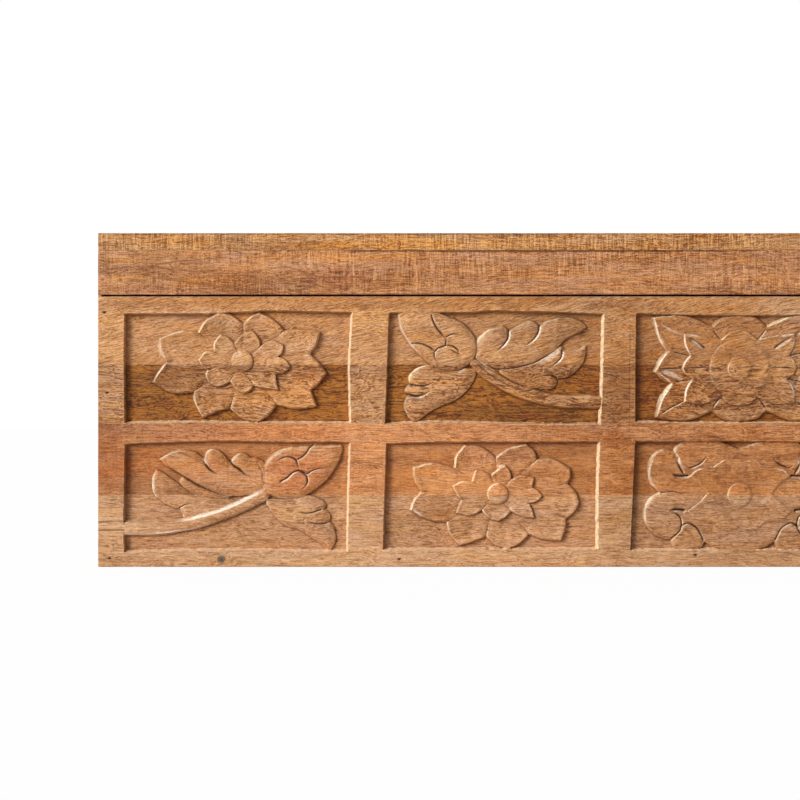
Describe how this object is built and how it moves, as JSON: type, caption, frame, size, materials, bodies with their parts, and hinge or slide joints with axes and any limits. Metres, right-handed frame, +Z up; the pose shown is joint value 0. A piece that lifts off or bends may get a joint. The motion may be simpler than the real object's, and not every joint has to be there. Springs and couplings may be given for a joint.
{
  "type": "carved wooden chest",
  "caption": "Low wide wooden chest with a hinged lid; its front has sunk panels carved with flowers and scrolling leaves.",
  "frame": {"origin": "on the ground under the middle of the closed chest", "axes": "+X to the right of someone facing the carved front, +Y towards the back, +Z up"},
  "size_m": [0.9, 0.4, 0.39],
  "materials": {
    "front_wood_1": "hand-carved, bare wood, light tan brown",
    "front_wood_2": "hand-carved, bare wood, reddish tan",
    "front_wood_3": "hand-carved, bare wood, brown",
    "front_wood_4": "hand-carved, bare wood, light tan",
    "back_wood": "sawn, bare wood",
    "side_wood": "sawn, bare wood",
    "floor_wood": "sawn, bare wood",
    "lid_top_wood": "rough-sawn, bare wood",
    "lid_skirt_wood": "rough-sawn, bare wood",
    "batten_wood": "sawn, bare wood",
    "hinge_steel": "dull, lightly rusted",
    "screw_steel": "dull",
    "nail_iron": "dark, rusted"
  },
  "bodies": {
    "chest": {"back_board_1": "back_wood", "back_board_2": "back_wood", "back_board_3": "back_wood", "back_board_4": "back_wood", "back_nails": "nail_iron", "body_hinge_screws": "screw_steel", "floor_board_1": "floor_wood", "floor_board_2": "floor_wood", "floor_board_3": "floor_wood", "floor_board_4": "floor_wood", "front_board_1": "front_wood_1", "front_board_2": "front_wood_2", "front_board_3": "front_wood_3", "front_board_4": "front_wood_4", "front_nails": "nail_iron", "left_hinge_body_leaf": "hinge_steel", "left_hinge_pin": "hinge_steel", "left_side_board_1": "side_wood", "left_side_board_2": "side_wood", "left_side_board_3": "side_wood", "left_side_board_4": "side_wood", "left_side_nails": "nail_iron", "right_hinge_body_leaf": "hinge_steel", "right_hinge_pin": "hinge_steel", "right_side_board_1": "side_wood", "right_side_board_2": "side_wood", "right_side_board_3": "side_wood", "right_side_board_4": "side_wood", "right_side_nails": "nail_iron"},
    "lid": {"left_hinge_lid_leaf": "hinge_steel", "lid_back_rail": "lid_skirt_wood", "lid_batten_left": "batten_wood", "lid_batten_right": "batten_wood", "lid_board_1": "lid_top_wood", "lid_board_2": "lid_top_wood", "lid_board_3": "lid_top_wood", "lid_board_4": "lid_top_wood", "lid_board_5": "lid_top_wood", "lid_front_rail": "lid_skirt_wood", "lid_hinge_screws": "screw_steel", "lid_left_rail": "lid_skirt_wood", "lid_nails": "nail_iron", "lid_right_rail": "lid_skirt_wood", "right_hinge_lid_leaf": "hinge_steel"}
  },
  "joints": [
    {"name": "lid_hinge", "type": "hinge", "parent": "chest", "child": "lid", "pos_m": [0, 0.195, 0.317], "axis": [-1, 0, 0], "range_deg": [0, 98]}
  ]
}
